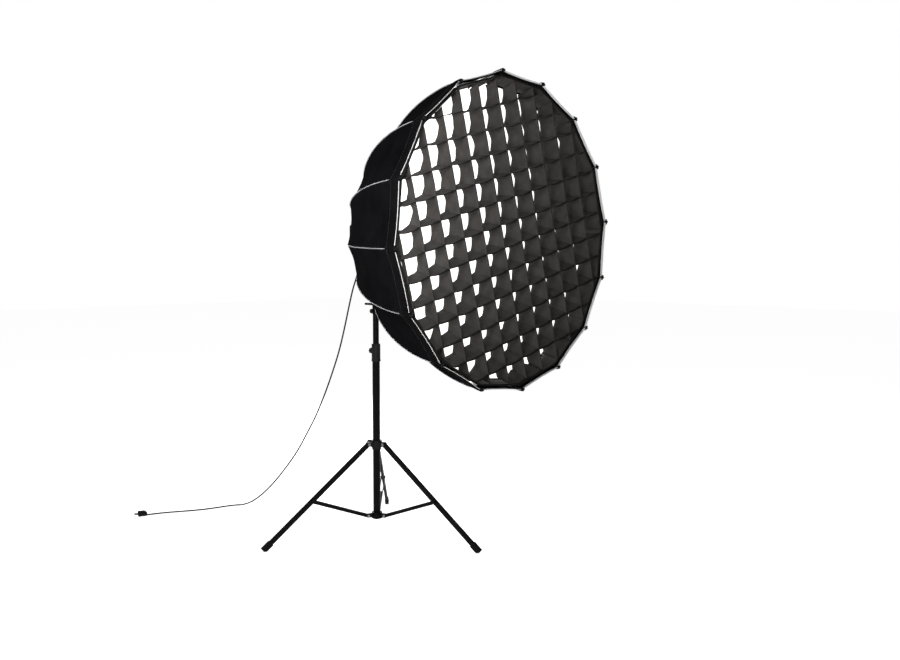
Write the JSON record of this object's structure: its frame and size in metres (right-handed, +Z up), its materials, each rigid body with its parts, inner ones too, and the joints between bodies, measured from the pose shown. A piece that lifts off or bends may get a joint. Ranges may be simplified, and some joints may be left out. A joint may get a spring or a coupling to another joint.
{
  "type": "octabox on light stand",
  "caption": "Deep sixteen-sided octabox with fabric grid on a compact lamp head, yoke and folding light stand, with its mains lead.",
  "frame": {"origin": "on the floor, on the axis of the stand's column", "axes": "+Z up; the octabox faces -Y; +X is to the right for someone in front of the octabox who looks along +Y at it"},
  "size_m": [1.2386, 1.8441, 1.9287],
  "materials": {
    "stand_metal": "satin black enamel",
    "tube_metal": "black anodised",
    "moulding": "fine-grained black moulding",
    "rubber": "matt rubber",
    "zinc": "bright zinc plate",
    "lamp_shell": "black powder coat",
    "bare_aluminium": "bare aluminium",
    "led": "yellow phosphor",
    "clear_glass": "clear",
    "screen": "dark glossy window",
    "rib_rod": "grey glass-fibre rod",
    "skin_cloth": "black woven polyester",
    "white_cloth": "white translucent polyester",
    "grid_cloth": "charcoal woven polyester"
  },
  "bodies": {
    "column": {"base_tube": "tube_metal", "foot_hub": "moulding", "hub_pins": "zinc", "section_collar": "moulding"},
    "leg_collar": {"leg_collar": "moulding", "collar_pins": "zinc"},
    "collar_knob": {"collar_knob": "moulding"},
    "section_knob": {"section_knob": "moulding"},
    "riser": {"riser_tube": "tube_metal", "riser_bush": "moulding", "spigot": "zinc"},
    "yoke": {"receiver": "moulding", "yoke": "stand_metal", "pivot_bolts": "zinc"},
    "receiver_knob": {"receiver_knob": "moulding"},
    "receiver_screw": {"receiver_screw": "moulding"},
    "tilt_lever": {"tilt_lever": "moulding"},
    "lamp": {"lamp_housing": "lamp_shell", "rear_cover": "moulding", "cover_screws": "zinc", "mount_ring": "bare_aluminium", "heat_sink": "bare_aluminium", "led_emitter": "led", "lamp_glass": "clear_glass", "display": "screen", "cable_gland": "rubber", "power_lead": "rubber", "plug": "moulding"},
    "release_lever": {"release_lever": "moulding"},
    "fan": {"fan_rotor": "moulding"},
    "dial": {"dial": "moulding"},
    "power_switch": {"power_switch": "moulding"},
    "softbox": {"bayonet_adapter": "bare_aluminium", "speedring": "lamp_shell", "rib_pair_1": "rib_rod", "rib_pair_2": "rib_rod", "rib_pair_3": "rib_rod", "rib_pair_4": "rib_rod", "rib_pair_5": "rib_rod", "rib_pair_6": "rib_rod", "rib_pair_7": "rib_rod", "rib_pair_8": "rib_rod", "rib_tips": "moulding", "skin": "skin_cloth", "inner_baffle": "white_cloth", "front_diffuser": "white_cloth"},
    "grid": {"grid": "grid_cloth"},
    "leg_1": {"leg_1": "stand_metal", "foot_1": "rubber"},
    "brace_1": {"brace_1": "stand_metal"},
    "leg_2": {"leg_2": "stand_metal", "foot_2": "rubber"},
    "brace_2": {"brace_2": "stand_metal"},
    "leg_3": {"leg_3": "stand_metal", "foot_3": "rubber"},
    "brace_3": {"brace_3": "stand_metal"}
  },
  "joints": [
    {"name": "leg_collar_slide", "type": "slide", "parent": "column", "child": "leg_collar", "axis": [0, 0, 1], "range_m": [0, 0.304]},
    {"name": "collar_knob_turn", "type": "hinge", "parent": "leg_collar", "child": "collar_knob", "pos_m": [0, 0, 0.41], "axis": [-0.2334, 0.9724, 0], "range_deg": [-540, 180]},
    {"name": "leg_1_fold", "type": "hinge", "parent": "leg_collar", "child": "leg_1", "pos_m": [0.02901, 0.02753, 0.41], "axis": [-0.6884, 0.7254, 0], "range_deg": [0, 46.09]},
    {"name": "brace_1_fold", "type": "hinge", "parent": "column", "child": "brace_1", "pos_m": [0.03264, 0.03098, 0.09], "axis": [0.6884, -0.7254, 0], "range_deg": [0, 65.68]},
    {"name": "leg_2_fold", "type": "hinge", "parent": "leg_collar", "child": "leg_2", "pos_m": [-0.03835, 0.01136, 0.41], "axis": [-0.284, -0.9588, 0], "range_deg": [0, 46.09]},
    {"name": "brace_2_fold", "type": "hinge", "parent": "column", "child": "brace_2", "pos_m": [-0.04315, 0.01278, 0.09], "axis": [0.284, 0.9588, 0], "range_deg": [0, 65.68]},
    {"name": "leg_3_fold", "type": "hinge", "parent": "leg_collar", "child": "leg_3", "pos_m": [0.00934, -0.03889, 0.41], "axis": [0.9724, 0.2334, 0], "range_deg": [0, 46.09]},
    {"name": "brace_3_fold", "type": "hinge", "parent": "column", "child": "brace_3", "pos_m": [0.01051, -0.04376, 0.09], "axis": [-0.9724, -0.2334, 0], "range_deg": [0, 65.68]},
    {"name": "riser_slide", "type": "slide", "parent": "column", "child": "riser", "axis": [0, 0, 1], "range_m": [-0.1, 0.42], "deforming": ["power_lead"]},
    {"name": "section_knob_turn", "type": "hinge", "parent": "column", "child": "section_knob", "pos_m": [0, 0, 0.822], "axis": [0.1736, 0.9848, 0], "range_deg": [-540, 180]},
    {"name": "head_pan", "type": "hinge", "parent": "riser", "child": "yoke", "pos_m": [0, 0, 1], "axis": [0, 0, 1], "range_deg": [-175, 175], "deforming": ["power_lead"]},
    {"name": "receiver_knob_turn", "type": "hinge", "parent": "yoke", "child": "receiver_knob", "pos_m": [0, 0, 1.032], "axis": [-1, 0, 0], "range_deg": [-540, 180]},
    {"name": "receiver_screw_turn", "type": "hinge", "parent": "yoke", "child": "receiver_screw", "pos_m": [0, 0, 1], "axis": [-1, 0, 0], "range_deg": [-540, 180]},
    {"name": "lamp_tilt", "type": "hinge", "parent": "yoke", "child": "lamp", "pos_m": [0, 0, 1.323], "axis": [-1, 0, 0], "range_deg": [-25, 60], "deforming": ["power_lead"]},
    {"name": "tilt_lever_turn", "type": "hinge", "parent": "yoke", "child": "tilt_lever", "pos_m": [0, 0, 1.323], "axis": [-1, 0, 0], "range_deg": [-90, 90]},
    {"name": "softbox_twist", "type": "hinge", "parent": "lamp", "child": "softbox", "pos_m": [0, 0, 1.323], "axis": [0, -1, 0], "range_deg": [0, 42]},
    {"name": "grid_pull_off", "type": "slide", "parent": "softbox", "child": "grid", "axis": [0, -1, 0], "range_m": [0, 0.3]},
    {"name": "release_lever_slide", "type": "slide", "parent": "lamp", "child": "release_lever", "axis": [0, 1, 0], "range_m": [0, 0.003], "stiffness_N_per_m": 400, "springref_m": -0.003},
    {"name": "fan_spin", "type": "hinge", "parent": "lamp", "child": "fan", "pos_m": [0, 0.06, 1.323], "axis": [0, -1, 0], "continuous": true},
    {"name": "dial_turn", "type": "hinge", "parent": "lamp", "child": "dial", "pos_m": [0.028, 0.125, 1.315], "axis": [0, 1, 0], "continuous": true},
    {"name": "power_switch_rock", "type": "hinge", "parent": "lamp", "child": "power_switch", "pos_m": [-0.03, 0.111, 1.315], "axis": [1, 0, 0], "range_deg": [-8, 8]}
  ],
  "couplings": [
    {"joint": "leg_1_fold", "follows": "leg_collar_slide", "rad_per_m": 2.6433},
    {"joint": "brace_1_fold", "follows": "leg_collar_slide", "rad_per_m": 3.7679},
    {"joint": "leg_2_fold", "follows": "leg_collar_slide", "rad_per_m": 2.6433},
    {"joint": "brace_2_fold", "follows": "leg_collar_slide", "rad_per_m": 3.7679},
    {"joint": "leg_3_fold", "follows": "leg_collar_slide", "rad_per_m": 2.6433},
    {"joint": "brace_3_fold", "follows": "leg_collar_slide", "rad_per_m": 3.7679}
  ]
}
